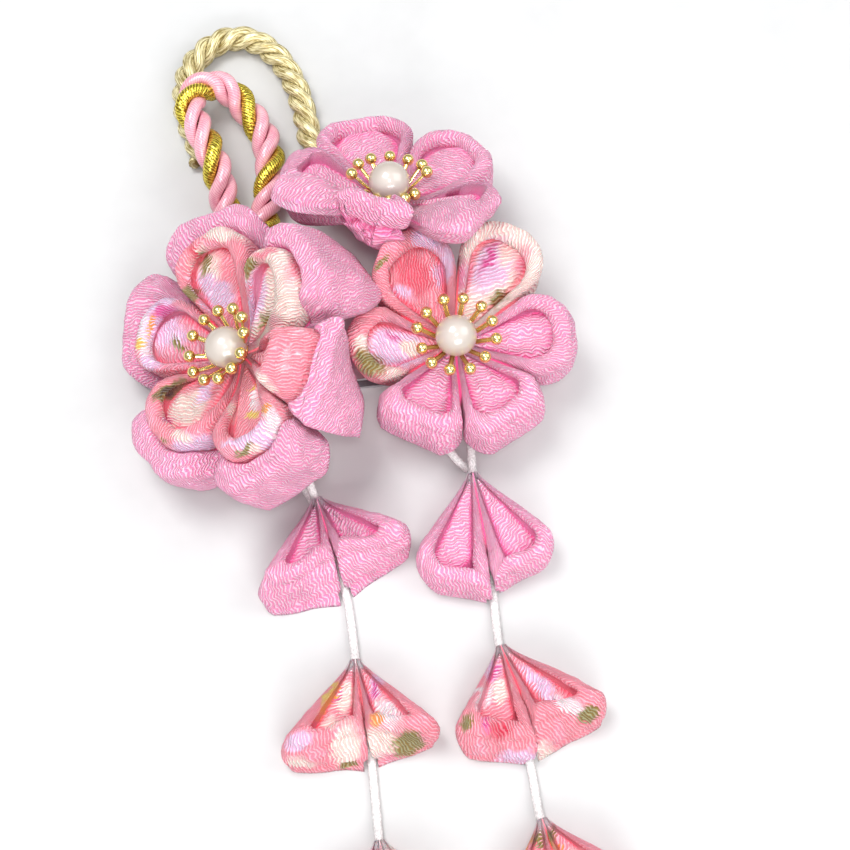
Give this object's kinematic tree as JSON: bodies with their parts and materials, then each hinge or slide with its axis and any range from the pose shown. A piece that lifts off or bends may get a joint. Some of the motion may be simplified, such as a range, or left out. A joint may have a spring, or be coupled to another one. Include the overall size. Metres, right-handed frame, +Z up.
{
  "type": "kanzashi hair clip",
  "caption": "Kanzashi hair clip with folded-cloth flowers, pearl and gold stamen hearts, looped twisted ropes and hanging strings of folded petals, laid flat.",
  "frame": {"origin": "middle of the flowers' and ropes' box, on the surface that the ornament lies on", "axes": "+Z up from the surface, +Y towards the rope loops, -Y the way the strings hang"},
  "size_m": [0.0986, 0.1908, 0.0341],
  "materials": {
    "plain_cloth": "matte crepe",
    "printed_cloth": "matte crepe",
    "pearl": "pearly",
    "gold": "polished",
    "gold_yarn": "metallic yarn",
    "satin": "satin",
    "lame": "metallic wrapping",
    "white_cord": "braided",
    "steel": "satin"
  },
  "bodies": {
    "root": {"left_inner_petal_1": "printed_cloth", "left_inner_petal_2": "printed_cloth", "left_inner_petal_3": "printed_cloth", "left_inner_petal_4": "printed_cloth", "left_inner_petal_5": "printed_cloth", "left_inner_petal_6": "printed_cloth", "left_outer_petal_1": "plain_cloth", "left_outer_petal_2": "plain_cloth", "left_outer_petal_3": "plain_cloth", "left_outer_petal_4": "plain_cloth", "left_outer_petal_5": "plain_cloth", "left_outer_petal_6": "plain_cloth", "top_petal_1": "plain_cloth", "top_petal_2": "plain_cloth", "top_petal_3": "plain_cloth", "top_petal_4": "plain_cloth", "top_petal_5": "plain_cloth", "right_petal_1": "plain_cloth", "right_petal_2": "printed_cloth", "right_petal_3": "printed_cloth", "right_petal_4": "printed_cloth", "right_petal_5": "plain_cloth", "right_petal_6": "plain_cloth", "left_drop_1_petal_a": "plain_cloth", "left_drop_1_petal_b": "plain_cloth", "left_drop_2_petal_a": "printed_cloth", "left_drop_2_petal_b": "printed_cloth", "left_drop_3_petal_a": "printed_cloth", "left_drop_3_petal_b": "printed_cloth", "right_drop_1_petal_a": "plain_cloth", "right_drop_1_petal_b": "plain_cloth", "right_drop_2_petal_a": "printed_cloth", "right_drop_2_petal_b": "printed_cloth", "right_drop_3_petal_a": "printed_cloth", "right_drop_3_petal_b": "printed_cloth", "left_pearl": "pearl", "top_pearl": "pearl", "right_pearl": "pearl", "left_stamens": "gold", "top_stamens": "gold", "right_stamens": "gold", "gold_rope_strand_1": "gold_yarn", "gold_rope_strand_2": "gold_yarn", "gold_rope_strand_3": "gold_yarn", "satin_rope_strand_1": "satin", "satin_rope_strand_2": "satin", "lame_rope_strand": "lame", "left_cord": "white_cord", "right_cord": "white_cord", "clip": "steel"}
  },
  "joints": []
}
